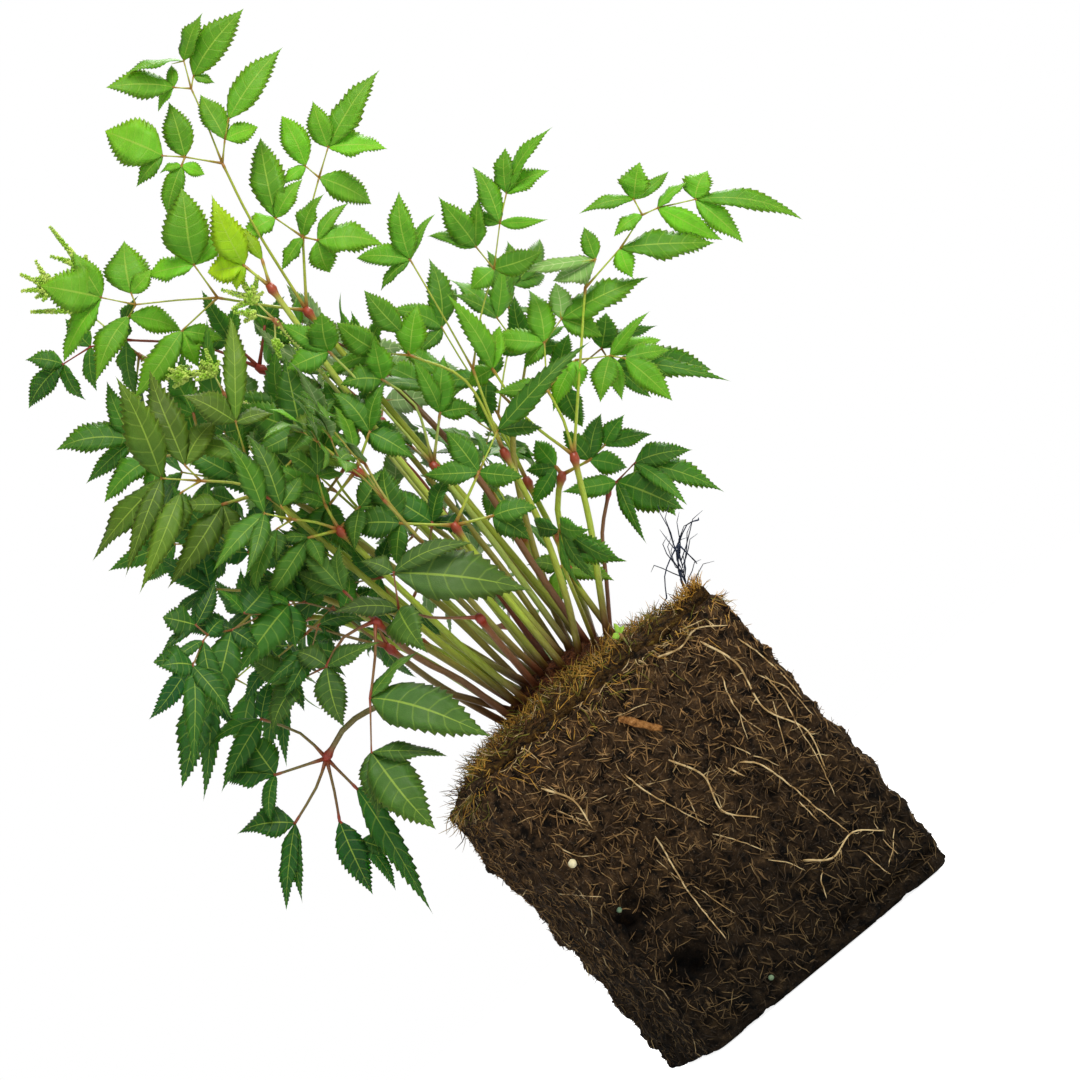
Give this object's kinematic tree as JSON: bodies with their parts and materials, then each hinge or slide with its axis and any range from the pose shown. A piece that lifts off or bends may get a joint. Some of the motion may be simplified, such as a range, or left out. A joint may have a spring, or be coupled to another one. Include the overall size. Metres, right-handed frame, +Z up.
{
  "type": "astilbe plant",
  "caption": "Young leafy perennial lifted from its pot: square peat root ball, mossy top, crown, divided toothed leaves on reddish stalks and slender green flower panicles.",
  "frame": {"origin": "centre of the root ball's flat underside", "axes": "+Z up along the plant, -Y the front that the picture shows, +X to its right; the block is turned 10 degrees about +Z"},
  "size_m": [0.3496, 0.27, 0.48],
  "materials": {
    "peat": "dark moist peat with matted fibres",
    "moss": "loose golden and olive moss fibres",
    "crown": "rough woody rootstock",
    "leaf": "thin satin leaf with impressed veins",
    "lime": "young thin leaf, lime green",
    "flower": "pale lime buds on thin stalks",
    "root": "pale smooth young root",
    "wire": "thin dark dead roots",
    "chip": "weathered bark chip",
    "cream": "dull round bead",
    "prill": "small round green bead"
  },
  "bodies": {
    "root": {"root_ball": "peat", "moss_mat": "moss", "crown": "crown", "leaf_back_high": "leaf", "leaf_back_inner": "leaf", "leaf_back_left": "leaf", "leaf_back_low": "leaf", "leaf_back_mid": "leaf", "leaf_back_right": "leaf", "leaf_back_tall": "leaf", "leaf_blue": "leaf", "leaf_centre": "leaf", "leaf_far_left": "leaf", "leaf_front_centre": "leaf", "leaf_front_dark": "leaf", "leaf_front_high": "leaf", "leaf_front_left": "leaf", "leaf_front_low": "leaf", "leaf_front_mid": "leaf", "leaf_inner_left": "leaf", "leaf_inner_low": "leaf", "leaf_inner_mid": "leaf", "leaf_inner_right": "leaf", "leaf_inner_top": "leaf", "leaf_left_low": "leaf", "leaf_low_front": "leaf", "leaf_low_left": "leaf", "leaf_low_middle": "leaf", "leaf_low_right": "leaf", "leaf_low_right_back": "leaf", "leaf_mid_right": "leaf", "leaf_middle": "leaf", "leaf_olive": "leaf", "leaf_right": "leaf", "leaf_side_left": "leaf", "leaf_side_right": "leaf", "leaf_top": "leaf", "leaf_upper_inner": "leaf", "leaf_upper_left": "leaf", "leaf_young": "lime", "panicle_left": "flower", "panicle_low": "flower", "panicle_middle": "flower", "bark_chip": "chip", "cream_bead": "cream", "dry_root_tuft": "wire", "prill_lower": "prill", "prill_upper": "prill", "root_front_left": "root", "root_front_long": "root", "root_front_low": "root", "root_front_middle": "root", "root_front_top": "root", "root_side": "root", "seedling": "leaf"}
  },
  "joints": []
}
